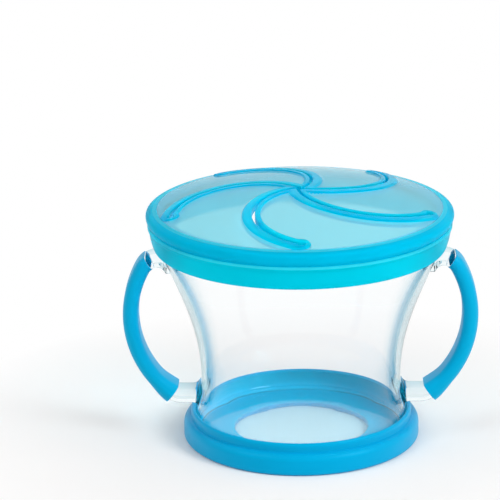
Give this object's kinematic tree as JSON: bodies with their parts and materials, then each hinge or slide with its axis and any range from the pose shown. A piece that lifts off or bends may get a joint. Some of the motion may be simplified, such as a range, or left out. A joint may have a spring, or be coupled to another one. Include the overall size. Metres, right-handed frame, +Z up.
{
  "type": "toddler snack container",
  "caption": "Two-handled clear snack cup with soft blue grips, a blue foot ring and a press-on lid whose soft domed top is slit into spiral flaps.",
  "frame": {"origin": "bottom centre of the foot ring, on the table", "axes": "+X through the handles, -Y towards the front seen in the picture, +Z up"},
  "size_m": [0.1256, 0.108, 0.0909],
  "materials": {
    "clear_cup": "clear, polished",
    "foot_plastic": "satin",
    "grip_rubber": "smooth soft",
    "lid_plastic": "satin",
    "soft_rubber": "smooth soft",
    "flap_rubber": "translucent, smooth soft"
  },
  "bodies": {
    "cup": {"cup_body": "clear_cup", "foot_ring": "foot_plastic", "grip_left": "grip_rubber", "grip_right": "grip_rubber"},
    "lid": {"lid_ring": "lid_plastic", "soft_top": "soft_rubber"},
    "flap_1": {"flap_1": "flap_rubber"},
    "flap_2": {"flap_2": "flap_rubber"},
    "flap_3": {"flap_3": "flap_rubber"},
    "flap_4": {"flap_4": "flap_rubber"},
    "flap_5": {"flap_5": "flap_rubber"}
  },
  "joints": [
    {"name": "lid_lift", "type": "slide", "parent": "cup", "child": "lid", "axis": [0, 0, 1], "range_m": [0, 0.05]},
    {"name": "flap_1_bend", "type": "hinge", "parent": "lid", "child": "flap_1", "pos_m": [0.02278, -0.03045, 0.08519], "axis": [-0.8007, -0.599, 0], "range_deg": [-12, 30], "stiffness_Nm_per_rad": 0.02},
    {"name": "flap_2_bend", "type": "hinge", "parent": "lid", "child": "flap_2", "pos_m": [0.03599, 0.01225, 0.08519], "axis": [0.3223, -0.9466, 0], "range_deg": [-12, 30], "stiffness_Nm_per_rad": 0.02},
    {"name": "flap_3_bend", "type": "hinge", "parent": "lid", "child": "flap_3", "pos_m": [-0.00053, 0.03802, 0.08519], "axis": [0.9999, 0.014, 0], "range_deg": [-12, 30], "stiffness_Nm_per_rad": 0.02},
    {"name": "flap_4_bend", "type": "hinge", "parent": "lid", "child": "flap_4", "pos_m": [-0.03632, 0.01124, 0.08519], "axis": [0.2957, 0.9553, 0], "range_deg": [-12, 30], "stiffness_Nm_per_rad": 0.02},
    {"name": "flap_5_bend", "type": "hinge", "parent": "lid", "child": "flap_5", "pos_m": [-0.02192, -0.03107, 0.08519], "axis": [-0.8171, 0.5764, 0], "range_deg": [-12, 30], "stiffness_Nm_per_rad": 0.02}
  ]
}
